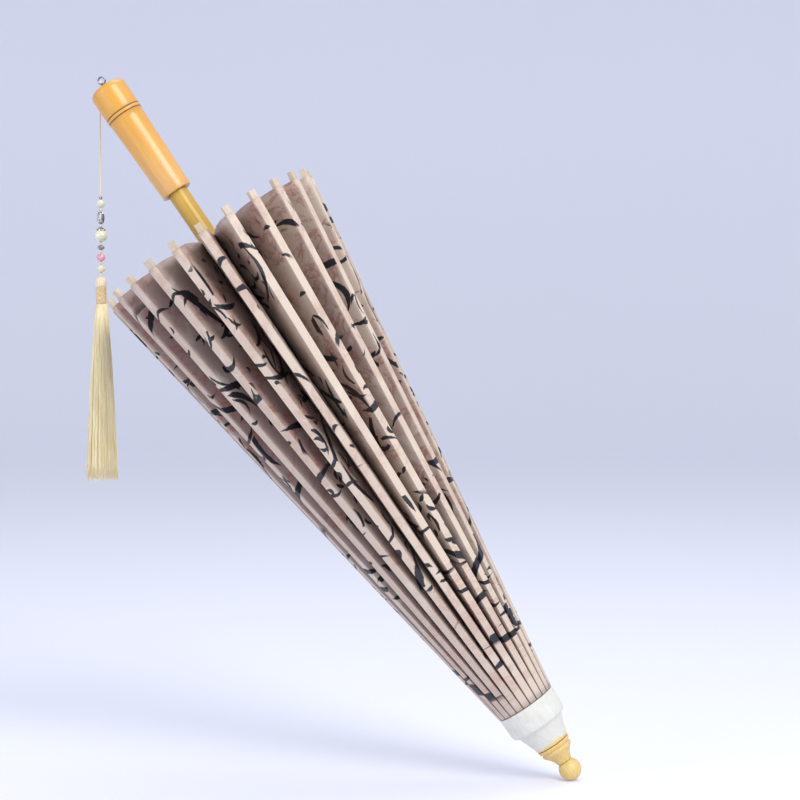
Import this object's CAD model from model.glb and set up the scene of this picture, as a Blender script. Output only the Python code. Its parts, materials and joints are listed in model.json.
"""Folded oil paper umbrella with a bamboo grip, a white head cap and a beaded silk tassel."""

import json
import math
import random

import bmesh
import bpy
from bpy.props import FloatProperty, FloatVectorProperty, IntProperty, PointerProperty
from mathutils import Matrix, Vector, noise

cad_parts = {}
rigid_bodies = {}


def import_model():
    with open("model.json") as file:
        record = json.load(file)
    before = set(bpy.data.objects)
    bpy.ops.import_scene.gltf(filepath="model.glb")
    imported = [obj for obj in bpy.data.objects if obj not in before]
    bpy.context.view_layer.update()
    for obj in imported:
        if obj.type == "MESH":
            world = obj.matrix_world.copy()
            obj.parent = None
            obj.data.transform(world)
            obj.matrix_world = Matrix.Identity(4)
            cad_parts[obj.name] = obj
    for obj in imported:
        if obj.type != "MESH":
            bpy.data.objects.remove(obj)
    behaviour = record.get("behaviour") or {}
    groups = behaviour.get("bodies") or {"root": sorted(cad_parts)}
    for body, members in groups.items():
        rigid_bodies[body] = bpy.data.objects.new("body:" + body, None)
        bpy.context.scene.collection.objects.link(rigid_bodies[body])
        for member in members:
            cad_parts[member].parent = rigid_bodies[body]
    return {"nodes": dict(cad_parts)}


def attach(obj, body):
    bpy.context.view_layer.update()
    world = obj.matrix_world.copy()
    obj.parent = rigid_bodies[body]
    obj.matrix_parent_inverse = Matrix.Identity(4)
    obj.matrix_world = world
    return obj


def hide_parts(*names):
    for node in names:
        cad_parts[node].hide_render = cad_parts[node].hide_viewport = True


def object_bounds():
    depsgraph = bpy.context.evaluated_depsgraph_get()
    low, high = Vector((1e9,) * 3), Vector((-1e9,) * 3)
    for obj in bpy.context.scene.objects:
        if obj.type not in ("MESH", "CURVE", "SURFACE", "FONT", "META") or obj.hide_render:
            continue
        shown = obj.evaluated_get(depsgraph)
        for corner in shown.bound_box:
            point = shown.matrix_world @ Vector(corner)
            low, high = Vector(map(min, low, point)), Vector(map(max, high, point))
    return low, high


bl_info = {
    "name": "Oil Paper Umbrella",
    "version": (1, 0, 0),
    "blender": (4, 5, 0),
    "location": "View3D > Sidebar > Umbrella",
    "description": "Builds the paper, wood and silk of a folded oil paper umbrella",
    "category": "Object",
}

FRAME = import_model()
CAD_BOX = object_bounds()

# The umbrella is laid out upright, in metres, its head down, then leans over
LEAN = math.radians(34.5)
LEAN_HEIGHT = 0.646
LEAN_OVER = Matrix.Rotation(-LEAN, 4, "Y") @ Matrix.Translation((0, 0, -LEAN_HEIGHT))
MM = 0.001

# Vertices closer than this are one
MERGE = 0.000001

# Ribs: angles from the shaft at the two ends of the fold, and a rib's outer face from pivot to tip
RIB_COUNT = 24
HALF_PITCH = math.radians(180.0 / RIB_COUNT)
CLOSED = math.radians(10.2)
WIDE_OPEN = math.radians(76.2)
PIVOT_R = 0.020
RIB_LENGTH = 0.540
FACE_HEIGHT = 0.010
FACE_DROP = 0.0095
FACE_WIDTH = 0.0054
FACE_WIDENS = 0.0012

# Paper: where it starts and ends along a rib, and how it is glued, folded and cut
PAPER_START = -0.0045
PAPER_END = 0.5316
PAPER_THICKNESS = 0.0004
PAPER_LIFT = 0.0005
GLUE_MARGIN = 0.0004
PLEAT_BOW = 0.35
SCALLOP = 0.011
CRUMPLE = 0.0028
CRUMPLE_WITH_DEPTH = 12.0

# Room that the folds leave round the shaft at the hub, under the cap and round the runner
HUB_CLEAR_R = 0.0066
CAP_CLEAR_Z = 0.0067
RUNNER_CLEAR_R = 0.0264

# The hanging line of the tassel, below the screw eye
HANG_X = -0.0445
HANG_Y = 0.0144
EYE_HEIGHT = 0.05687


# --- Node trees ---------------------------------------------------------------------------------


class Link:
    """One output socket; arithmetic on it adds Math nodes to its tree."""

    def __init__(self, tree, socket):
        self.tree = tree
        self.socket = socket

    def maths(self, operation, *values):
        return self.tree.add("ShaderNodeMath", {"operation": operation}, dict(enumerate(values)))

    def __add__(self, other):
        return self.maths("ADD", self, other)

    def __sub__(self, other):
        return self.maths("SUBTRACT", self, other)

    def __mul__(self, other):
        return self.maths("MULTIPLY", self, other)

    def __truediv__(self, other):
        return self.maths("DIVIDE", self, other)

    def __lt__(self, other):
        return self.maths("LESS_THAN", self, other)

    def __radd__(self, other):
        return self.maths("ADD", other, self)

    def __rsub__(self, other):
        return self.maths("SUBTRACT", other, self)

    def __rmul__(self, other):
        return self.maths("MULTIPLY", other, self)

    def __rtruediv__(self, other):
        return self.maths("DIVIDE", other, self)

    def at_least(self, other):
        return self.maths("MAXIMUM", self, other)

    def at_most(self, other):
        return self.maths("MINIMUM", self, other)

    def away(self, middle=0.0):
        return self.maths("ABSOLUTE", self - middle)

    def root(self):
        return self.maths("SQRT", self)

    def sign(self):
        return self.maths("SIGN", self)

    def sine(self):
        return self.maths("SINE", self)

    def cosine(self):
        return self.maths("COSINE", self)

    def step(self, low, high, to_low=0.0, to_high=1.0):
        """A smooth rise from to_low to to_high as the value goes from low to high."""
        settings = {"interpolation_type": "SMOOTHSTEP"}
        values = {0: self, 1: low, 2: high, 3: to_low, 4: to_high}
        return self.tree.add("ShaderNodeMapRange", settings, values)


class Tree:
    """A node tree that makes any node from its type, settings and socket values."""

    def __init__(self, nodes, owner=None):
        self.nodes = nodes.nodes
        self.links = nodes.links
        self.owner = owner

    def add(self, kind, settings=None, values=None, out=0):
        node = self.nodes.new(kind)
        for name, value in (settings or {}).items():
            setattr(node, name, value)
        for key, value in (values or {}).items():
            socket = node.inputs[key]
            if isinstance(value, Link):
                self.links.new(value.socket, socket)
            else:
                socket.default_value = value
        if out is None:
            return node
        return Link(self, node.outputs[out])

    def vector(self, operation, *values, out=0):
        return self.add("ShaderNodeVectorMath", {"operation": operation}, dict(enumerate(values)), out)

    def dot(self, a, b):
        return self.vector("DOT_PRODUCT", a, b, out=1)

    def scaled(self, a, factor):
        return self.add("ShaderNodeVectorMath", {"operation": "SCALE"}, {0: a, "Scale": factor})

    def mix(self, factor, a, b, blend="MIX"):
        settings = {"data_type": "RGBA", "blend_type": blend}
        a = a if isinstance(a, Link) else rgba(a)
        b = b if isinstance(b, Link) else rgba(b)
        return self.add("ShaderNodeMix", settings, {0: factor, 6: a, 7: b}, out=2)

    def noise(self, at, scale, detail=3.0, roughness=0.55, distortion=0.0):
        return self.add("ShaderNodeTexNoise", None, {
            "Vector": at, "Scale": scale, "Detail": detail, "Roughness": roughness, "Distortion": distortion,
        })

    def mapped(self, place, **values):
        """Coordinates through a Mapping node."""
        return self.add("ShaderNodeMapping", {"vector_type": "POINT"}, {"Vector": place, **values})

    def upright(self, stretch=(1.0, 1.0, 1.0)):
        """Object coordinates turned back upright, then stretched."""
        place = self.add("ShaderNodeTexCoord", out="Object")
        turned = self.mapped(place, Rotation=(0.0, LEAN, 0.0), Location=(0.0, 0.0, LEAN_HEIGHT))
        return self.mapped(turned, Scale=stretch)

    def hanging(self, stretch=(1.0, 1.0, 1.0)):
        """Object coordinates centred on the tassel's line, then stretched."""
        place = self.add("ShaderNodeTexCoord", out="Object")
        moved = self.mapped(place, Location=(-HANG_X, -HANG_Y, 0.0))
        return self.mapped(moved, Scale=stretch)

    def part(self, vector, axis):
        """One of a vector's three parts."""
        return self.add("ShaderNodeSeparateXYZ", None, {0: vector}, out=axis)

    def bump(self, height, strength, distance):
        values = {"Height": height, "Strength": strength, "Distance": distance}
        return self.add("ShaderNodeBump", None, values)


def rgba(colour):
    """A colour of three numbers as four."""
    return tuple(colour) + (1.0,)


def finish_material(tree, values):
    """Ends the tree in a shader with these socket values; returns its material."""
    shader = tree.add("ShaderNodeBsdfPrincipled", None, values)
    tree.add("ShaderNodeOutputMaterial", None, {"Surface": shader}, out=None)
    return tree.owner


def start_material(name):
    """An empty node tree in a new material."""
    material = bpy.data.materials.new(name)
    material.use_nodes = True
    material.node_tree.nodes.clear()
    return Tree(material.node_tree, material)


def paper_material(canopy):
    """Oiled paper: beige fibre, mauve washes, worn gold patches and loose brush strokes."""
    tree = start_material("paper_finish")
    flat = tree.add("ShaderNodeAttribute", {"attribute_name": "flat_map"}, out="Vector")
    pleat = tree.add("ShaderNodeAttribute", {"attribute_name": "pleat"}, out="Fac").away()
    across = tree.part(flat, 0)
    wash = tree.noise(flat, 9.0, 6.0, 0.6, 0.8)
    streak = tree.noise(flat, 19.0, 6.0, 0.68, 1.1)
    fibre = tree.noise(flat, 420.0, 4.0, 0.6, 0.4)
    reach = tree.vector("LENGTH", flat, out=1)
    far_side = (across / reach.at_least(0.001)).step(0.5, -0.8)
    base = tree.mix(far_side, canopy.paper_light, canopy.paper_dark)
    base = tree.mix(wash.step(0.42, 0.66) * 0.70, base, canopy.wash)
    red = streak.away(0.5).step(0.040, 0.0) * wash.step(0.40, 0.56)
    base = tree.mix(red * 0.85, base, canopy.vein)
    pale = tree.noise(flat, 21.0, 3.0, 0.5, 1.0).step(0.56, 0.72)
    base = tree.mix(pale * 0.5, base, (0.64, 0.58, 0.50))
    base = tree.mix(fibre.step(0.35, 0.75) * 0.18, base, (0.30, 0.22, 0.18))
    gold = tree.noise(flat, 55.0, 2.0, 0.5, 0.3).step(0.735, 0.76)
    base = tree.mix(gold * pleat.step(0.16, 0.02) * 0.8, base, (0.50, 0.27, 0.09))
    edge = pleat.step(0.05, 0.012)
    base = tree.mix(edge * 0.45, base, (0.76, 0.64, 0.51))
    crease = pleat.step(0.45, 1.0)
    base = tree.mix(crease * 0.40, base, (0.17, 0.11, 0.09))
    near_head = reach.step(0.30, 0.04) * pleat.step(0.03, 0.5)
    base = tree.mix(near_head * 0.85, base, (0.055, 0.034, 0.028))
    ink = brush_strokes(tree, flat)
    base = tree.mix(ink, base, canopy.ink)
    rough = (0.52 - ink * 0.14) + fibre * 0.12
    height = fibre * 0.3 + streak * 0.25 + wash * 0.6
    return finish_material(tree, {
        "Base Color": base, "Roughness": rough, "Normal": tree.bump(height, 0.35, 0.0009),
        "Coat Weight": 0.12, "Coat Roughness": 0.3,
    })


def brush_strokes(tree, flat):
    """Abstract tapered ink strokes of four sizes, scattered over the flat paper."""
    edge = tree.noise(flat, 300.0, 2.0, 0.5) * 0.0016 - 0.0008
    # Cells per metre, half length, half width, share of the cells with ink, and shift of the cells
    layers = (
        (15.0, 0.030, 0.0034, 0.55, 0.0),
        (27.0, 0.019, 0.0031, 0.50, 1.3),
        (46.0, 0.012, 0.0019, 0.38, 2.9),
        (78.0, 0.0048, 0.0020, 0.20, 4.7),
    )
    marks = [stroke_layer(tree, flat, edge, *layer) for layer in layers]
    ink = marks[0].at_least(marks[1]).at_least(marks[2].at_least(marks[3]))
    away = tree.vector("ADD", flat, (3.7, 1.9, 0.6))
    spread = tree.noise(away, 10.0, 1.0, 0.5, 0.0).step(0.44, 0.46)
    reach = tree.vector("LENGTH", flat, out=1)
    inside = reach.step(0.012, 0.02) * reach.step(0.520, 0.505)
    return ink * spread * inside


def stroke_layer(tree, flat, edge, scale, length, width, share, shift):
    """One bent, tapered stroke in each of a share of scattered cells."""
    moved = tree.vector("ADD", flat, (shift, shift * 0.7, 0.0))
    cells = tree.add(
        "ShaderNodeTexVoronoi", {"voronoi_dimensions": "2D"},
        {"Vector": moved, "Scale": scale, "Randomness": 0.8}, out=None,
    )
    centre = Link(tree, cells.outputs["Position"])
    dice = Link(tree, cells.outputs["Color"])
    local = tree.vector("SUBTRACT", moved, centre)
    x = tree.part(local, 0)
    y = tree.part(local, 1)
    angle = tree.part(dice, 0) * math.tau
    cosine = angle.cosine()
    sine = angle.sine()
    along = x * cosine + y * sine
    bend = (tree.part(dice, 2) - 0.5) * (1.3 / length)
    across = (y * cosine - x * sine) - along * along * bend + edge
    taper = (along / length + 0.35).away()
    body = (1.0 - taper * taper * 0.62).at_least(0.0)
    inked = (across.away() - body * width).step(0.0003, -0.0003)
    stroke_end = 1.27
    return inked * (taper < stroke_end) * (tree.part(dice, 1) < share)


def bamboo_material(name, light, dark, grain=900.0, knots=0.0, tip=None):
    """Split bamboo or turned wood whose fibres run along the umbrella."""
    tree = start_material(name)
    fine = tree.noise(tree.upright((1.0, 1.0, 0.02)), grain, 4.0, 0.6)
    broad = tree.noise(tree.upright((1.0, 1.0, 0.05)), grain * 0.18, 3.0, 0.55)
    slow = tree.noise(tree.upright(), 22.0, 3.0, 0.5)
    base = tree.mix(fine.step(0.35, 0.70) * 0.6, light, dark)
    base = tree.mix(broad.step(0.45, 0.70) * 0.55, base, dark)
    base = tree.mix(slow.step(0.4, 0.7) * 0.25, base, tuple(0.7 * c for c in dark))
    if knots:
        along = tree.part(tree.upright(), 2)
        ring = (along * (math.tau / knots)).sine().step(0.9965, 0.9995)
        base = tree.mix(ring * 0.7, base, tuple(0.45 * c for c in dark))
    if tip:
        normal = tree.add("ShaderNodeTexCoord", out="Normal")
        axis = LEAN_OVER.to_3x3() @ Vector((0.0, 0.0, 1.0))
        facing = tree.dot(normal, tuple(axis)).step(0.75, 0.9)
        base = tree.mix(facing, base, tip)
    return finish_material(tree, {
        "Base Color": base, "Roughness": fine * 0.2 + 0.36, "Normal": tree.bump(fine, 0.25, 0.0003),
        "Coat Weight": 0.15, "Coat Roughness": 0.25,
    })


def grip_material(wood):
    """Lacquered bamboo grip: golden at its end, paling to peach at its lower edge."""
    tree = start_material("grip_finish")
    along = tree.part(tree.upright(), 2)
    fine = tree.noise(tree.upright((1.0, 1.0, 0.025)), 650.0, 4.0, 0.6)
    broad = tree.noise(tree.upright((1.0, 1.0, 0.12)), 70.0, 3.0, 0.5)
    lower_edge = 0.59
    golden_from = 0.665
    base = tree.mix(along.step(lower_edge, golden_from), wood.grip_low, wood.grip_high)
    base = tree.mix(fine.step(0.42, 0.72) * 0.3, base, (0.42, 0.20, 0.045))
    base = tree.mix(broad.step(0.42, 0.70) * 0.35, base, (0.60, 0.33, 0.10))
    between_grooves = 0.676
    lines = ((along - between_grooves).away() - 0.002).away().step(0.0009, 0.0004)
    base = tree.mix(lines * 0.85, base, (0.13, 0.06, 0.02))
    return finish_material(tree, {
        "Base Color": base, "Roughness": broad * 0.12 + 0.30, "Normal": tree.bump(fine, 0.12, 0.0002),
        "Coat Weight": 0.4, "Coat Roughness": 0.22,
    })


def cap_material(wood):
    """White lacquered cloth with faint brush marks; bare straw shows below its wavering lower edge."""
    tree = start_material("cap_finish")
    slant = tree.upright((1.0, 1.0, 0.35))
    marks = tree.noise(slant, 120.0, 5.0, 0.65, 1.5)
    weave = tree.noise(tree.upright(), 1100.0, 2.0, 0.5)
    soil = tree.noise(tree.upright(), 45.0, 4.0, 0.6, 0.6)
    base = tree.mix(marks.step(0.35, 0.7) * 0.35, wood.cap, (0.55, 0.52, 0.44))
    base = tree.mix(soil.step(0.5, 0.75) * 0.3, base, (0.50, 0.43, 0.32))
    waver = tree.noise(tree.upright(), 60.0, 2.0, 0.5)
    hem = -0.0437
    hem_softness = 0.001
    bare = (tree.part(tree.upright(), 2) + waver * 0.011).step(hem, hem - hem_softness)
    base = tree.mix(bare, base, wood.straw)
    height = marks * 0.7 + weave * 0.15
    return finish_material(tree, {
        "Base Color": base, "Roughness": marks * 0.2 + 0.38, "Normal": tree.bump(height, 0.35, 0.0006),
        "Coat Weight": 0.15, "Subsurface Weight": 0.05, "Subsurface Scale": 0.002,
    })


def metal_material(name, bright, dark, scale):
    """Worn metal with darkened hollows."""
    tree = start_material(name)
    worn = tree.noise(tree.hanging(), scale, 4.0, 0.6, 0.8)
    base = tree.mix(worn.step(0.40, 0.60), dark, bright)
    return finish_material(tree, {
        "Base Color": base, "Roughness": worn * 0.3 + 0.18, "Metallic": 1.0,
        "Normal": tree.bump(worn, 0.5, 0.0003),
    })


def stone_material(name, light, deep, scale, glow=0.35):
    """Polished stone or lacquered knot with a little depth."""
    tree = start_material(name)
    cloud = tree.noise(tree.hanging(), scale, 4.0, 0.6, 1.2)
    base = tree.mix(cloud.step(0.35, 0.65), light, deep)
    return finish_material(tree, {
        "Base Color": base, "Roughness": cloud * 0.1 + 0.10, "Coat Weight": 0.3, "Coat Roughness": 0.06,
        "Subsurface Weight": glow, "Subsurface Scale": 0.003,
    })


def silk_material(name, light, deep, along=0.012, scale=1500.0):
    """Silk threads that hang along the tassel."""
    tree = start_material(name)
    thread = tree.noise(tree.hanging((1.0, 1.0, along)), scale, 3.0, 0.6)
    lock = tree.noise(tree.hanging((1.0, 1.0, 0.06)), scale * 0.2, 3.0, 0.6)
    base = tree.mix(thread.step(0.30, 0.70), light, deep)
    base = tree.mix(lock.step(0.50, 0.72) * 0.5, base, tuple(0.90 * c for c in deep))
    return finish_material(tree, {
        "Base Color": base, "Roughness": thread * 0.25 + 0.30, "Normal": tree.bump(thread, 0.5, 0.0003),
        "Sheen Weight": 0.3, "Sheen Roughness": 0.4, "Subsurface Weight": 0.15, "Subsurface Scale": 0.003,
    })


def cord_material(tassel):
    """Two-ply twisted silk cord; slanting grooves show the twist."""
    tree = start_material("cord_finish")
    place = tree.hanging()
    ply_pitch = 0.0016
    slant = (tree.part(place, 2) + tree.part(place, 0) * 0.9) * (math.tau / ply_pitch)
    ply = slant.sine().step(-1.0, 1.0)
    base = tree.mix(ply, tuple(0.75 * c for c in tassel.cord), tassel.cord)
    return finish_material(tree, {
        "Base Color": base, "Roughness": ply * 0.1 + 0.5, "Normal": tree.bump(ply, 0.6, 0.0003),
    })


# --- Meshes -------------------------------------------------------------------------------------


def add_object(name, data):
    """Links data into the scene as an object."""
    made = bpy.data.objects.new(name, data)
    bpy.context.scene.collection.objects.link(made)
    return made


def place_piece(name, data, material, body, node):
    """A finished piece that rides on a body and stands for a CAD node."""
    piece = add_object(name, data)
    data.materials.append(material)
    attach(piece, body)
    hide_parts(node)
    return piece


def keep_piece(name, bm, material, body, node, turn=None):
    """Cleans a bmesh and turns it into a finished piece."""
    if turn is not None:
        bm.transform(turn)
    bmesh.ops.remove_doubles(bm, verts=bm.verts[:], dist=MERGE)
    bmesh.ops.recalc_face_normals(bm, faces=bm.faces[:])
    for face in bm.faces:
        face.smooth = True
    mesh = bpy.data.meshes.new(name)
    bm.to_mesh(mesh)
    bm.free()
    return place_piece(name, mesh, material, body, node)


def spin_outline(bm, outline, steps, flute=None):
    """Spins an outline of (radius, height) round the Z axis; flute may change a point's radius."""
    corners = [bm.verts.new((r, 0.0, z)) for r, z in outline]
    edges = [bm.edges.new(pair) for pair in zip(corners, corners[1:])]
    bmesh.ops.spin(
        bm, geom=corners + edges, cent=(0, 0, 0), axis=(0, 0, 1), dvec=(0, 0, 0),
        angle=math.tau, steps=steps, use_merge=True, use_duplicate=False,
    )
    if not flute:
        return
    on_axis = 0.00001
    for vert in bm.verts:
        radius = math.hypot(vert.co.x, vert.co.y)
        if radius > on_axis:
            scale = flute(math.atan2(vert.co.y, vert.co.x), vert.co.z, radius) / radius
            vert.co.x *= scale
            vert.co.y *= scale


def divided(points, step):
    """The same outline, with more points along its straight stretches."""
    result = []
    for (r0, z0), (r1, z1) in zip(points, points[1:]):
        count = max(1, round(math.hypot(r1 - r0, z1 - z0) / step))
        result += [(r0 + (r1 - r0) * k / count, z0 + (z1 - z0) * k / count) for k in range(count)]
    result.append(points[-1])
    return result


def smooth_outline(points, step, rounding):
    """Points along an outline at even steps, its corners rounded by a short running mean."""
    dense = divided(points, step / 2)
    reach = max(1, round(rounding / step * 2))
    last = len(dense) - 1
    result = [dense[0]]
    for k in range(2, last, 2):
        width = min(reach, k, last - k)
        near = dense[k - width:k + width + 1]
        result.append((sum(p[0] for p in near) / len(near), sum(p[1] for p in near) / len(near)))
    result.append(dense[-1])
    return result


def in_mm(points):
    """An outline drawn in millimetres, in metres."""
    return [(r * MM, z * MM) for r, z in points]


def turned_piece(name, outline, material, body, node, steps, flute=None, turn=LEAN_OVER):
    """A piece turned on a lathe: its outline spun round the upright umbrella's axis."""
    bm = bmesh.new()
    spin_outline(bm, outline, steps, flute)
    return keep_piece(name, bm, material, body, node, turn=turn)


def arc(centre_r, centre_z, radius, start, end, count):
    """Points on an arc, angles in degrees from the outward direction."""
    angles = [math.radians(start + (end - start) * k / count) for k in range(count + 1)]
    return [(centre_r + radius * math.cos(a), centre_z + radius * math.sin(a)) for a in angles]


# --- Canopy -------------------------------------------------------------------------------------


def face_height(s):
    """Height of a rib's outer face over the line through its pivots."""
    return FACE_HEIGHT - FACE_DROP * s / RIB_LENGTH


def rib_width(s):
    return FACE_WIDTH + FACE_WIDENS * s / RIB_LENGTH


def pleat_sizes(s, h, half):
    """A closed fold's depth, its valley's distance from the rib's middle, and the gap beside the rib."""
    k = math.tan(HALF_PITCH)
    sine = math.sin(CLOSED)
    cosine = math.cos(CLOSED)
    radius = PIVOT_R + s * sine + h * cosine
    gap = radius * k - half
    full = max(k * (PIVOT_R + s * math.sin(WIDE_OPEN) + h * math.cos(WIDE_OPEN)) - half, gap)
    kc = k * cosine
    depth = gap * kc + math.sqrt(max(0.0, (gap * kc) ** 2 - (1 + kc * kc) * (gap * gap - full * full)))
    depth /= 1 + kc * kc
    return depth, (radius - depth * cosine) * k, gap


def unfolding_nodes():
    """Geometry Nodes that unfold one gore's pleats as its rib opens, keeping the paper's width."""
    group = bpy.data.node_groups.new("unfold_pleats", "GeometryNodeTree")
    group.interface.new_socket("Geometry", in_out="INPUT", socket_type="NodeSocketGeometry")
    group.interface.new_socket("Rib", in_out="INPUT", socket_type="NodeSocketObject")
    group.interface.new_socket("Geometry", in_out="OUTPUT", socket_type="NodeSocketGeometry")
    tree = Tree(group)
    source = tree.add("NodeGroupInput", out=None)
    geometry = Link(tree, source.outputs["Geometry"])
    rib = Link(tree, source.outputs["Rib"])

    def stored(name, kind="FLOAT_VECTOR"):
        return tree.add("GeometryNodeInputNamedAttribute", {"data_type": kind}, {"Name": name})

    edge = stored("edge")
    along = stored("rib_along")
    outward = stored("rib_outward")
    measures = stored("measures")
    pleat = stored("pleat", "FLOAT")
    s0 = tree.part(measures, 0)
    h0 = tree.part(measures, 1)
    half = tree.part(measures, 2)
    turned = tree.add("GeometryNodeObjectInfo", {"transform_space": "ORIGINAL"}, {"Object": rib}, "Transform")
    aimed = tree.add("FunctionNodeTransformDirection", None, {"Direction": along, "Transform": turned})
    aimed = tree.vector("NORMALIZE", aimed)
    radial = tree.vector(
        "ADD", tree.scaled(outward, math.cos(CLOSED)), tree.scaled(along, math.sin(CLOSED))
    )
    axis = tree.vector(
        "SUBTRACT", tree.scaled(along, math.cos(CLOSED)), tree.scaled(outward, math.sin(CLOSED))
    )
    sideways = tree.vector("CROSS_PRODUCT", axis, radial)
    least_sine = 0.02
    least_cosine = 0.2
    sine = tree.dot(aimed, radial).at_least(least_sine)
    cosine = tree.dot(aimed, axis)
    s = s0.at_least((HUB_CLEAR_R - h0 * cosine) / sine)
    h = h0.at_most((CAP_CLEAR_Z + s * cosine) / sine)
    k = math.tan(HALF_PITCH)
    radius = PIVOT_R + s * sine + h * cosine
    gap = radius * k - half
    full = (PIVOT_R + s * math.sin(WIDE_OPEN) + h * math.cos(WIDE_OPEN)) * k - half
    full = full.at_least(gap)
    kc = cosine * k
    more = 1 + kc * kc
    inner = (gap * gap * kc * kc - more * (gap * gap - full * full)).at_least(0.0)
    depth = (gap * kc + inner.root()) / more
    room = (radius - RUNNER_CLEAR_R) / cosine.at_least(least_cosine)
    depth = depth.at_most(room).at_least(0.0)
    valley = (radius - depth * cosine) * k
    part = pleat.away()
    side = pleat.sign()
    bow = part * (1 - part) * (1 - part) * gap * (depth / full.at_least(0.0001)) * PLEAT_BOW
    swing = side * (part * (valley - half) + bow)
    moved = tree.vector("ADD", edge, tree.scaled(sideways, swing))
    moved = tree.vector("SUBTRACT", moved, tree.scaled(outward, part * depth))
    moved = tree.vector("ADD", moved, tree.scaled(along, s - s0))
    moved = tree.vector("ADD", moved, tree.scaled(outward, h - h0))
    moved = tree.vector("ADD", moved, tree.scaled(stored("crumple"), depth * CRUMPLE_WITH_DEPTH))
    placed = tree.add("GeometryNodeSetPosition", None, {"Geometry": geometry, "Position": moved})
    tree.add("NodeGroupOutput", None, {"Geometry": placed}, out=None)
    return group


def gore_piece(index, material, unfold, rows, folds):
    """One gore of paper, from valley to valley over its rib, folded as at rest."""
    azimuth = HALF_PITCH * (2 * index + 1)
    turn = LEAN_OVER.to_3x3()
    radial = turn @ Vector((math.cos(azimuth), math.sin(azimuth), 0.0))
    axis = turn @ Vector((0.0, 0.0, 1.0))
    sideways = axis.cross(radial)
    along = radial * math.sin(CLOSED) + axis * math.cos(CLOSED)
    outward = radial * math.cos(CLOSED) - axis * math.sin(CLOSED)
    pivot = LEAN_OVER @ Vector((PIVOT_R * math.cos(azimuth), PIVOT_R * math.sin(azimuth), 0.0))
    across = 2 * folds + 2
    bm = bmesh.new()
    bmesh.ops.create_grid(bm, x_segments=across, y_segments=rows, size=1.0)
    vectors = bm.verts.layers.float_vector
    names = ("edge", "rib_along", "rib_outward", "measures", "flat_map", "crumple")
    layers = {name: vectors.new(name) for name in names}
    pleat_layer = bm.verts.layers.float.new("pleat")
    for vert in bm.verts:
        column = round((vert.co.x + 1) / 2 * across) - folds - 1
        share = (vert.co.y + 1) / 2
        side = max(-1, min(1, column))
        part = max(0, abs(column) - 1) / folds
        s = PAPER_START + (PAPER_END - PAPER_START) * share
        s -= SCALLOP * part * part * share ** 6
        h = face_height(s) + PAPER_LIFT
        half = rib_width(s) / 2 + GLUE_MARGIN
        depth, valley, gap = pleat_sizes(s, h, half)
        edge = pivot + along * s + outward * h + sideways * (side * half)
        bow = part * (1 - part) ** 2 * gap * PLEAT_BOW
        angle = azimuth + side * HALF_PITCH * (0.10 + 0.90 * part)
        flat = Vector((math.cos(angle), math.sin(angle), 0.0)) * s
        wobble = noise.noise(flat * 30.0 + Vector((0, 0, 5.0))) * 0.7 + noise.noise(flat * 90.0) * 0.3
        vert[layers["edge"]] = edge
        vert[layers["rib_along"]] = along
        vert[layers["rib_outward"]] = outward
        vert[layers["measures"]] = (s, h, half)
        vert[layers["flat_map"]] = flat
        vert[layers["crumple"]] = sideways * (wobble * math.sin(math.pi * part) * CRUMPLE)
        vert[pleat_layer] = side * part
        vert.co = edge + sideways * (side * (part * (valley - half) + bow)) - outward * (part * depth)
    name = f"canopy_gore_{index + 1:02d}"
    mesh = bpy.data.meshes.new(name)
    bmesh.ops.recalc_face_normals(bm, faces=bm.faces[:])
    middle = min(bm.faces, key=lambda f: abs(f.calc_center_median().dot(sideways) - pivot.dot(sideways)))
    if middle.normal.dot(outward) < 0:
        bmesh.ops.reverse_faces(bm, faces=bm.faces[:])
    for face in bm.faces:
        face.smooth = True
    # The paper creases sharply along both edges of the rib
    glued = 0.0001
    for edge in bm.edges:
        on_rib = all(abs(v[pleat_layer]) < glued for v in edge.verts)
        folded = [f for f in edge.link_faces if any(abs(v[pleat_layer]) > glued for v in f.verts)]
        edge.smooth = not (on_rib and len(folded) == 1)
    bm.to_mesh(mesh)
    bm.free()
    body = f"rib_{index + 1:02d}"
    piece = place_piece(name, mesh, material, body, "paper_canopy")
    modifier = piece.modifiers.new("unfold", "NODES")
    modifier.node_group = unfold
    modifier[unfold.interface.items_tree["Rib"].identifier] = bpy.data.objects["body:" + body]
    wall = piece.modifiers.new("paper", "SOLIDIFY")
    wall.thickness = PAPER_THICKNESS
    wall.offset = 0.0


# --- Settings -----------------------------------------------------------------------------------


def colour_property(name, description, default):
    return FloatVectorProperty(
        name=name, description=description, default=default, subtype="COLOR", size=3, min=0.0, max=1.0
    )


class UmbrellaCanopySettings(bpy.types.PropertyGroup):
    paper_light: colour_property("Light paper", "Cream side of the oiled paper", (0.53, 0.43, 0.34))
    paper_dark: colour_property("Dark paper", "Greyish mauve side of the oiled paper", (0.36, 0.27, 0.24))
    wash: colour_property("Wash", "Colour of the broad washes", (0.29, 0.165, 0.145))
    vein: colour_property("Veins", "Colour of the red-brown streaks", (0.30, 0.12, 0.09))
    ink: colour_property("Ink", "Colour of the brush strokes", (0.012, 0.012, 0.017))
    rows: IntProperty(name="Rows", description="Rows of mesh along a gore", default=60, min=20, max=120)
    folds: IntProperty(name="Folds", description="Columns on each side of a pleat", default=12, min=4, max=20)


class UmbrellaWoodSettings(bpy.types.PropertyGroup):
    grip_high: colour_property("Grip end", "Golden lacquer at the grip's end", (0.73, 0.36, 0.045))
    grip_low: colour_property("Grip edge", "Peach lacquer at the grip's lower edge", (0.76, 0.42, 0.12))
    cap: colour_property("Cap", "White of the head cap", (0.70, 0.70, 0.63))
    straw: colour_property("Finial", "Straw yellow of the finial", (0.76, 0.56, 0.21))
    shaft: colour_property("Shaft", "Golden bamboo of the shaft", (0.68, 0.42, 0.055))


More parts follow.
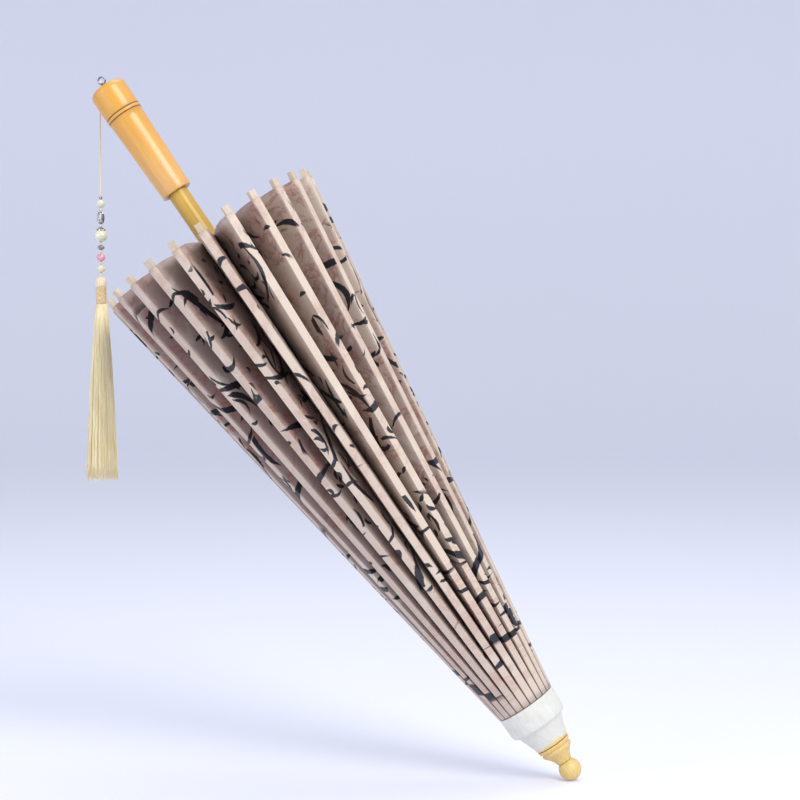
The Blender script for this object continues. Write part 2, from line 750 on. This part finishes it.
class UmbrellaTasselSettings(bpy.types.PropertyGroup):
    silk: colour_property("Silk", "Pale gold of the tassel", (1.0, 0.91, 0.64))
    cord: colour_property("Cord", "Straw colour of the hanging cord", (0.92, 0.84, 0.60))
    jade: colour_property("Jade", "Pale green of the beads", (0.74, 0.76, 0.59))
    strands: IntProperty(
        name="Strands", description="Silk strands in the skirt", default=620, min=100, max=1500,
    )
    strand_r: FloatProperty(
        name="Strand radius", description="Radius of one strand", default=0.00022,
        min=0.0001, max=0.001, unit="LENGTH", precision=5,
    )


class UmbrellaStageSettings(bpy.types.PropertyGroup):
    azimuth: FloatProperty(
        name="Azimuth", description="Camera's turn round the umbrella", default=math.radians(6.0),
        subtype="ANGLE",
    )
    elevation: FloatProperty(
        name="Elevation", description="Camera's height as an angle", default=math.radians(2.5),
        subtype="ANGLE",
    )
    floor: colour_property("Floor", "Pale floor and backdrop", (0.68, 0.69, 0.76))


# --- Operators ----------------------------------------------------------------------------------


class UMBRELLA_OT_stage(bpy.types.Operator):
    """Make the camera, the lights and the pale round floor that bends up into a wall"""

    bl_idname = "umbrella.stage"
    bl_label = "Stage"

    CAMERA_AT = (0.449, -1.896, -0.166)
    LENS = 90.0
    FLOOR_AT = (0.15, 0.0)
    FLAT_R = 4.4
    BEND_R = 1.2
    WALL_TOP = 3.0
    LIT_POINT = (0.15, 0.0, -0.25)
    # Name, place, size, power in watts and colour of each square light
    LIGHTS = (
        ("key", (1.5, -1.6, 1.5), 1.5, 58.0, (1.0, 0.975, 0.95)),
        ("fill", (-2.0, -1.9, 0.5), 1.8, 22.0, (0.90, 0.93, 1.0)),
        ("top", (0.2, 0.6, 2.3), 2.0, 28.0, (0.95, 0.96, 1.0)),
    )

    def execute(self, context):
        stage = context.scene.umbrella_stage
        self.make_camera(context, stage)
        self.make_floor(stage)
        self.make_lights(context)
        return {"FINISHED"}

    def make_camera(self, context, stage):
        data = bpy.data.cameras.new("camera")
        data.sensor_width = 36.0
        data.lens = self.LENS
        data.clip_start = 0.05
        data.clip_end = 60.0
        camera = add_object("camera", data)
        camera.location = self.CAMERA_AT
        camera.rotation_euler = (math.pi / 2 - stage.elevation, 0.0, stage.azimuth)
        context.scene.camera = camera

    def make_floor(self, stage):
        floor_z = CAD_BOX[0][2]
        tree = start_material("backdrop")
        place = tree.add("ShaderNodeTexCoord", out="Object")
        tone = tree.noise(place, 0.6, 1.0)
        base = tree.mix(tone, stage.floor, tuple(0.97 * c for c in stage.floor))
        material = finish_material(tree, {
            "Base Color": base, "Roughness": 0.7,
            "Emission Color": rgba((0.72, 0.75, 0.90)), "Emission Strength": 0.25,
        })
        outline = [(0.0, 0.0), (1.5, 0.0), (3.0, 0.0)]
        outline += arc(self.FLAT_R, self.BEND_R, self.BEND_R, -90, 0, 16)
        outline.append((self.FLAT_R + self.BEND_R, self.WALL_TOP))
        bm = bmesh.new()
        spin_outline(bm, outline, 96)
        bmesh.ops.translate(bm, verts=bm.verts[:], vec=self.FLOOR_AT + (floor_z,))
        bmesh.ops.remove_doubles(bm, verts=bm.verts[:], dist=0.00001)
        for face in bm.faces:
            face.smooth = True
        mesh = bpy.data.meshes.new("floor")
        bm.to_mesh(mesh)
        bm.free()
        mesh.materials.append(material)
        add_object("floor", mesh)

    def make_lights(self, context):
        for name, place, size, power, colour in self.LIGHTS:
            data = bpy.data.lights.new(name, "AREA")
            data.shape = "SQUARE"
            data.size = size
            data.energy = power
            data.color = colour
            lamp = add_object(name, data)
            lamp.location = place
            lamp.visible_camera = False
            aim = Vector(self.LIT_POINT) - Vector(place)
            lamp.rotation_euler = aim.to_track_quat("-Z", "Y").to_euler()
        world = bpy.data.worlds.new("studio")
        world.use_nodes = True
        sky = world.node_tree.nodes["Background"]
        sky.inputs["Color"].default_value = (0.86, 0.90, 1.0, 1.0)
        sky.inputs["Strength"].default_value = 0.50
        context.scene.world = world
        context.scene.view_settings.view_transform = "Standard"


class UMBRELLA_OT_cord(bpy.types.Operator):
    """Hang the tassel's cord from the screw eye, with its beads"""

    bl_idname = "umbrella.cord"
    bl_label = "Cord and beads"

    # Millimetres, from the loop in the screw eye down to the tassel's head
    ROUTE = (
        (-39.0, -2.0, 55.2), (-39.1, 0.0, 55.1), (-39.6, 2.6, 54.6), (-40.4, 5.2, 53.5),
        (-41.4, 7.6, 51.8), (-42.4, 9.8, 49.4), (-43.3, 11.8, 46.3), (-44.0, 13.4, 42.6),
        (-44.4, 14.2, 38.4), (-44.5, 14.4, 33.0), (-44.5, 14.4, 26.0), (-44.5, 14.4, 18.0),
        (-44.5, 14.4, 6.0), (-44.5, 14.4, -8.0), (-44.5, 14.4, -22.0), (-44.5, 14.4, -36.0),
        (-44.5, 14.4, -50.0), (-44.5, 14.4, -64.0), (-44.5, 14.4, -78.0), (-44.5, 14.4, -92.0),
        (-44.5, 14.4, -106.0), (-44.5, 14.4, -118.0), (-44.5, 14.4, -129.0),
    )
    BORE = 0.9
    CORD_R = 0.00072
    STOP_KNOT_AT = (-0.039, -0.0035, 0.0552)
    STOP_KNOT_R = 0.0015

    def execute(self, context):
        tassel = context.scene.umbrella_tassel
        curve = bpy.data.curves.new("hanging_cord", "CURVE")
        curve.dimensions = "3D"
        curve.bevel_depth = self.CORD_R
        curve.bevel_resolution = 3
        curve.use_fill_caps = True
        spline = curve.splines.new("POLY")
        spline.points.add(len(self.ROUTE) - 1)
        for point, place in zip(spline.points, self.ROUTE):
            point.co = tuple(c * MM for c in place) + (1.0,)
        cord = place_piece(
            "hanging_cord", curve, cord_material(tassel), "tassel", "tassel_cord")
        beads = self.make_beads(tassel)
        return {"FINISHED"}

    def ball(self, bm, drop, radius, lobes=0, deep=0.0):
        """One round bead, bored through, this far below the eye."""
        start = math.degrees(math.asin(self.BORE / radius))
        outline = arc(0.0, 0.0, radius, -90 + start, 90 - start, 18 if radius > 2 else 10)
        self.bead(bm, drop, outline, lobes, deep)

    def bead(self, bm, drop, outline, lobes=0, deep=0.0, slant=0.0):
        """Spins one bead about the hanging line; lobes carve petals round it."""
        loose = bmesh.new()
        closed = in_mm(outline + [outline[0]])

        def carve(angle, z, radius):
            cut = abs(math.sin(lobes * angle / 2 + slant * z / MM))
            inner = max(0.0, radius - self.BORE * MM)
            return radius - min(inner, deep * MM * (1 - cut) ** 1.5)

        spin_outline(loose, closed, 48, carve if lobes else None)
        loose.transform(Matrix.Translation((HANG_X, HANG_Y, EYE_HEIGHT - drop * MM)))
        part = bpy.data.meshes.new("part")
        bmesh.ops.remove_doubles(loose, verts=loose.verts[:], dist=MERGE)
        bmesh.ops.recalc_face_normals(loose, faces=loose.faces[:])
        loose.to_mesh(part)
        loose.free()
        bm.from_mesh(part)
        bpy.data.meshes.remove(part)

    def make_beads(self, tassel):
        b = self.BORE
        silver = bmesh.new()
        self.ball(silver, 111.1, 1.8, 8, 0.35)
        barrel = [(b, 5.8), (1.7, 5.8), (2.5, 5.2), (2.5, 4.6), (3.4, 4.0), (3.0, 3.3), (3.8, 1.8),
                  (3.5, 0.9), (3.8, 0.0), (3.5, -0.9), (3.8, -1.8), (3.0, -3.3), (3.4, -4.0),
                  (2.5, -4.6), (2.5, -5.2), (1.7, -5.8), (b, -5.8)]
        self.bead(silver, 130.8, barrel, 9, 0.9, 0.55)
        petals = [(b, 8.0), (1.6, 8.0), (2.6, 7.5), (3.4, 6.9), (4.3, 6.1), (5.0, 5.2), (4.6, 4.95),
                  (3.0, 6.06), (1.6, 6.58), (b, 6.7)]
        self.bead(silver, 148.0, petals, 8, 1.2)
        ring = [(b, 2.1), (1.8, 2.1), (2.2, 1.5), (3.0, 1.2), (3.4, 0.5), (3.4, -0.5), (3.0, -1.2),
                (2.2, -1.5), (1.8, -2.1), (b, -2.1)]
        self.bead(silver, 159.6, ring, 12, 0.7)
        jade = bmesh.new()
        for drop, radius in ((117.2, 4.1), (148.0, 6.45), (180.4, 3.9)):
            self.ball(jade, drop, radius)
        pink = bmesh.new()
        self.ball(pink, 169.1, 4.1)
        ivory = bmesh.new()
        for drop, radius in ((123.1, 1.6), (138.3, 1.5), (156.0, 1.35), (163.3, 1.5), (174.8, 1.5),
                             (186.0, 1.5)):
            self.ball(ivory, drop, radius, 5, 0.3)
        knot = bmesh.ops.create_icosphere(ivory, subdivisions=3, radius=self.STOP_KNOT_R)
        bmesh.ops.translate(ivory, verts=knot["verts"], vec=self.STOP_KNOT_AT)
        metal = metal_material("silver_bead", (0.72, 0.72, 0.70), (0.12, 0.12, 0.12), 900)
        green = stone_material("jade_bead", tassel.jade, (0.66, 0.69, 0.49), 110, 0.5)
        rose = stone_material("pink_bead", (0.85, 0.45, 0.55), (0.70, 0.26, 0.38), 220)
        cream = stone_material("ivory_bead", (0.82, 0.77, 0.62), (0.70, 0.58, 0.38), 600)
        finishes = (
            ("silver_beads", silver, metal),
            ("jade_beads", jade, green),
            ("pink_bead", pink, rose),
            ("ivory_beads", ivory, cream),
        )
        return [
            keep_piece(name, bm, material, "tassel", "tassel_beads")
            for name, bm, material in finishes
        ]


class UMBRELLA_OT_tassel(bpy.types.Operator):
    """Make the tassel's folded satin head, its wrapped threads and its silk skirt"""

    bl_idname = "umbrella.tassel"
    bl_label = "Tassel"

    # Drop below the eye and radius of the skirt, in millimetres
    SKIRT = ((214.4, 5.2), (222, 6.2), (235, 7.3), (270, 9.9), (310, 12.1), (350, 13.8), (384, 15.4))
    STRAND_TOP = 214.0
    STRAND_END = 384.0
    STRAND_PARTS = 11
    SEED = 11
    WRAP_TURNS = 15
    WRAP_PITCH = 1.02

    def execute(self, context):
        tassel = context.scene.umbrella_tassel
        turn = Matrix.Translation((HANG_X, HANG_Y, EYE_HEIGHT))
        satin = silk_material("satin_head", (0.86, 0.78, 0.60), (0.74, 0.60, 0.36), 0.03, 900.0)
        head = smooth_outline(
            in_mm([(0.0, -187.6), (2.0, -187.8), (4.3, -189.3), (5.5, -191.6), (5.7, -194.5),
                   (5.5, -197.0), (4.6, -198.2), (0.0, -198.4)]), 0.0005, 0.0005)

        def folds(angle, z, radius):
            return radius * (1 - 0.05 * (0.5 + 0.5 * math.sin(angle * 11 + z * 900)))

        turned_piece("tassel_head", head, satin, "tassel", "tassel", 88, folds, turn)
        self.make_wrap(turn)
        silk = silk_material("tassel_silk", tassel.silk, (0.97, 0.74, 0.34))
        self.make_skirt(context, tassel, silk, turn)
        return {"FINISHED"}

    def make_wrap(self, turn):
        """Turns of thread round the neck of the tassel, over five narrow strips."""
        thread = silk_material("wrap_thread", (0.84, 0.70, 0.42), (0.62, 0.42, 0.16), 1.0, 700.0)
        outline = [(0.0, -197.6)]
        for k in range(self.WRAP_TURNS):
            outline += arc(4.75, -198.6 - k * self.WRAP_PITCH, 0.5, 80, -80, 6)
        outline += [(4.6, -213.9), (0.0, -214.0)]

        def strip(angle, z, radius):
            return radius * (1 + 0.045 * math.exp(-((angle % (math.tau / 5)) - 0.6) ** 2 / 0.03))

        turned_piece(
            "tassel_wrap", in_mm(outline), thread, "tassel", "tassel", 72, strip, turn)

    def radius_at(self, drop):
        """The skirt's radius at this drop, in millimetres."""
        for (d0, r0), (d1, r1) in zip(self.SKIRT, self.SKIRT[1:]):
            if drop <= d1:
                return r0 + (r1 - r0) * max(0.0, drop - d0) / (d1 - d0)
        return self.SKIRT[-1][1]

    def make_skirt(self, context, tassel, silk, turn):
        """A fluted core with hundreds of separate strands over it and a ragged lower end."""
        core = [(0.0, -213.6)]
        core += [(r * 0.9, -d) for d, r in self.SKIRT[:-1]]
        core += [(13.6, -380.0), (0.0, -379.0)]
        core = smooth_outline(in_mm(core), 0.004, 0.002)

        def locks(angle, z, radius):
            return radius * (1 + 0.035 * math.sin(angle * 17 + 2 * math.sin(angle * 3)))

        turned_piece("tassel_core", core, silk, "tassel", "tassel", 120, locks, turn)
        draw = random.Random(self.SEED)
        curve = bpy.data.curves.new("tassel_strands", "CURVE")
        curve.dimensions = "3D"
        curve.bevel_depth = tassel.strand_r
        curve.bevel_resolution = 0
        for _ in range(tassel.strands):
            angle = draw.uniform(0, math.tau)
            depth = 1.0 - 0.16 * draw.random() ** 2
            end = self.STRAND_END + draw.gauss(0, 1.7)
            sway = draw.gauss(0, 0.035)
            loose = 1.0 + (draw.random() < 0.04) * draw.uniform(0.02, 0.16)
            wave = draw.uniform(0, math.tau)
            spline = curve.splines.new("POLY")
            spline.points.add(self.STRAND_PARTS)
            for k, point in enumerate(spline.points):
                share = k / self.STRAND_PARTS
                drop = self.STRAND_TOP + (end - self.STRAND_TOP) * share
                radius = self.radius_at(drop) * (depth + (loose - 1.0) * share * share)
                here = angle + sway * share + 0.02 * math.sin(wave + share * 9)
                point.co = (radius * MM * math.cos(here), radius * MM * math.sin(here), -drop * MM, 1.0)
                point.radius = 1.0 if k < self.STRAND_PARTS else 0.5
        holder = add_object("tassel_strands_curve", curve)
        context.view_layer.update()
        mesh = bpy.data.meshes.new_from_object(holder.evaluated_get(context.evaluated_depsgraph_get()))
        bpy.data.objects.remove(holder)
        bpy.data.curves.remove(curve)
        bm = bmesh.new()
        bm.from_mesh(mesh)
        bpy.data.meshes.remove(mesh)
        bmesh.ops.holes_fill(bm, edges=[e for e in bm.edges if e.is_boundary], sides=8)
        keep_piece("tassel_strands", bm, silk, "tassel", "tassel", turn=turn)


class UMBRELLA_OT_grip(bpy.types.Operator):
    """Turn the lacquered grip with its two grooves, and finish the screw eye"""

    bl_idname = "umbrella.grip"
    bl_label = "Grip"

    def execute(self, context):
        wood = context.scene.umbrella_wood
        body = [(9.95, 584.9), (13.9, 584.7), (15.0, 585.1), (15.3, 586.0), (17.5, 673.0), (18.1, 673.4)]
        body += [(18.0, 673.6), (17.45, 673.8), (17.4, 674.2), (17.95, 674.5), (18.2, 675.0)]
        body += [(18.2, 677.2), (17.95, 677.5), (17.45, 677.8), (17.45, 678.2), (17.95, 678.5), (18.2, 679.0)]
        body += [(18.2, 701.5)]
        body += arc(11.7, 701.5, 6.5, 8, 90, 14)
        body += [(1.1, 708.0), (1.1, 700.0), (9.95, 692.3), (9.95, 584.9)]
        turned_piece(
            "grip_turned", in_mm(divided(body, 6.0)), grip_material(wood),
            "shaft", "grip", 112)
        steel = metal_material("eye_steel", (0.42, 0.42, 0.44), (0.16, 0.16, 0.17), 300)
        paint_nodes(("screw_eye",), steel)
        return {"FINISHED"}


class UMBRELLA_OT_head(bpy.types.Operator):
    """Turn the white head cap and the straw-yellow finial below it"""

    bl_idname = "umbrella.head"
    bl_label = "Head cap and finial"

    def execute(self, context):
        wood = context.scene.umbrella_wood
        cap = [(27.2, -17.1), (27.2, -7.6), (27.5, -7.05), (29.6, -7.05), (30.1, -7.4), (30.2, -8.2),
               (29.8, -15.0), (29.6, -22.0), (29.4, -27.0), (28.9, -29.4), (27.6, -31.0), (25.4, -31.8),
               (24.6, -32.8), (23.4, -35.0), (20.6, -42.0), (18.9, -47.0), (17.5, -52.2), (16.7, -53.1),
               (9.95, -53.1), (9.95, -17.1), (27.2, -17.1)]
        # The bore and the underside stay plain
        plain_r = 0.0165
        ripple_r = 0.00022
        uneven_r = 0.00035
        inset = 0.0003

        def drape(angle, z, radius):
            if radius < plain_r:
                return radius
            fade = max(0.0, 1 + (z + 0.007) / 0.020)
            ripple = math.sin(angle * RIB_COUNT + 0.8) * ripple_r * fade
            hand = noise.noise(Vector((math.cos(angle), math.sin(angle), z * 60)) * 2.2) * uneven_r
            return radius + ripple + hand - inset

        turned_piece(
            "head_cap_skin", smooth_outline(in_mm(cap), 0.0012, 0.0008), cap_material(wood),
            "shaft", "head_cap", 168, drape)
        finial = [(0.0, -53.6), (16.9, -53.6), (17.1, -54.2), (16.2, -56.6), (14.9, -57.6), (14.4, -58.0),
                  (14.8, -58.5), (15.6, -59.3), (15.8, -60.2), (15.2, -61.6), (13.8, -63.0),
                  (10.8, -66.2), (8.9, -69.4), (7.9, -72.0), (7.55, -73.4)]
        finial += arc(0.0, -82.6, 10.9, 57, -90, 28)
        straw = bamboo_material("finial_straw", wood.straw, (0.58, 0.38, 0.11), 520.0)
        turned_piece(
            "finial_turned", smooth_outline(in_mm(finial), 0.0007, 0.0005), straw,
            "shaft", "finial", 96)
        return {"FINISHED"}


class UMBRELLA_OT_canopy(bpy.types.Operator):
    """Paste a pleated gore of oiled paper over every rib"""

    bl_idname = "umbrella.canopy"
    bl_label = "Canopy"

    def execute(self, context):
        canopy = context.scene.umbrella_canopy
        material = paper_material(canopy)
        unfold = unfolding_nodes()
        for index in range(RIB_COUNT):
            gore_piece(index, material, unfold, canopy.rows, canopy.folds)
        return {"FINISHED"}


class UMBRELLA_OT_woodwork(bpy.types.Operator):
    """Finish the shaft, ribs, stretchers, hub, runner and latch in bamboo and wood"""

    bl_idname = "umbrella.woodwork"
    bl_label = "Woodwork"

    def execute(self, context):
        wood = context.scene.umbrella_wood
        ribs = [f"rib_{k:02d}" for k in range(1, RIB_COUNT + 1)]
        stretchers = [f"stretcher_{k:02d}" for k in range(1, RIB_COUNT + 1)]
        tip = (0.58, 0.33, 0.09)
        gold = bamboo_material("shaft_gold", wood.shaft, (0.42, 0.25, 0.03), 420.0, knots=0.21)
        cream = bamboo_material("rib_cream", (0.64, 0.54, 0.42), (0.50, 0.38, 0.25), 700.0, tip=tip)
        tan = bamboo_material("stretcher_tan", (0.66, 0.48, 0.26), (0.45, 0.29, 0.12))
        brown = bamboo_material("hub_dark", (0.55, 0.38, 0.20), (0.33, 0.20, 0.09), 500.0)
        latch = bamboo_material("latch_bamboo", (0.60, 0.42, 0.20), (0.38, 0.24, 0.10))
        paint_nodes(("shaft",), gold)
        paint_nodes(ribs, cream)
        paint_nodes(stretchers, tan)
        paint_nodes(("top_hub", "runner"), brown)
        paint_nodes(("spring_latch",), latch)
        return {"FINISHED"}


def paint_nodes(names, material):
    """Gives CAD nodes a better material, without touching their meshes' shape."""
    for name in names:
        node = FRAME["nodes"][name]
        for slot in node.material_slots:
            slot.link = "OBJECT"
            slot.material = material


class UMBRELLA_PT_panel(bpy.types.Panel):
    """Every setting, and one button for each group of pieces"""

    bl_idname = "UMBRELLA_PT_panel"
    bl_label = "Oil Paper Umbrella"
    bl_space_type = "VIEW_3D"
    bl_region_type = "UI"
    bl_category = "Umbrella"

    def draw(self, context):
        for group in SETTINGS:
            box = self.layout.box()
            settings = getattr(context.scene, group)
            for name in settings.__annotations__:
                box.prop(settings, name)
        for operator in OPERATORS:
            self.layout.operator(operator.bl_idname)


SETTINGS = {
    "umbrella_canopy": UmbrellaCanopySettings,
    "umbrella_wood": UmbrellaWoodSettings,
    "umbrella_tassel": UmbrellaTasselSettings,
    "umbrella_stage": UmbrellaStageSettings,
}
OPERATORS = (
    UMBRELLA_OT_stage,
    UMBRELLA_OT_cord,
    UMBRELLA_OT_tassel,
    UMBRELLA_OT_grip,
    UMBRELLA_OT_head,
    UMBRELLA_OT_canopy,
    UMBRELLA_OT_woodwork,
)


def register():
    for group, settings in SETTINGS.items():
        bpy.utils.register_class(settings)
        setattr(bpy.types.Scene, group, PointerProperty(type=settings))
    for operator in OPERATORS:
        bpy.utils.register_class(operator)
    bpy.utils.register_class(UMBRELLA_PT_panel)


def unregister():
    bpy.utils.unregister_class(UMBRELLA_PT_panel)
    for operator in reversed(OPERATORS):
        bpy.utils.unregister_class(operator)
    for group, settings in reversed(SETTINGS.items()):
        delattr(bpy.types.Scene, group)
        bpy.utils.unregister_class(settings)


def main():
    register()
    for operator in OPERATORS:
        family, name = operator.bl_idname.split(".")
        getattr(getattr(bpy.ops, family), name)()


if __name__ == "__main__":
    main()
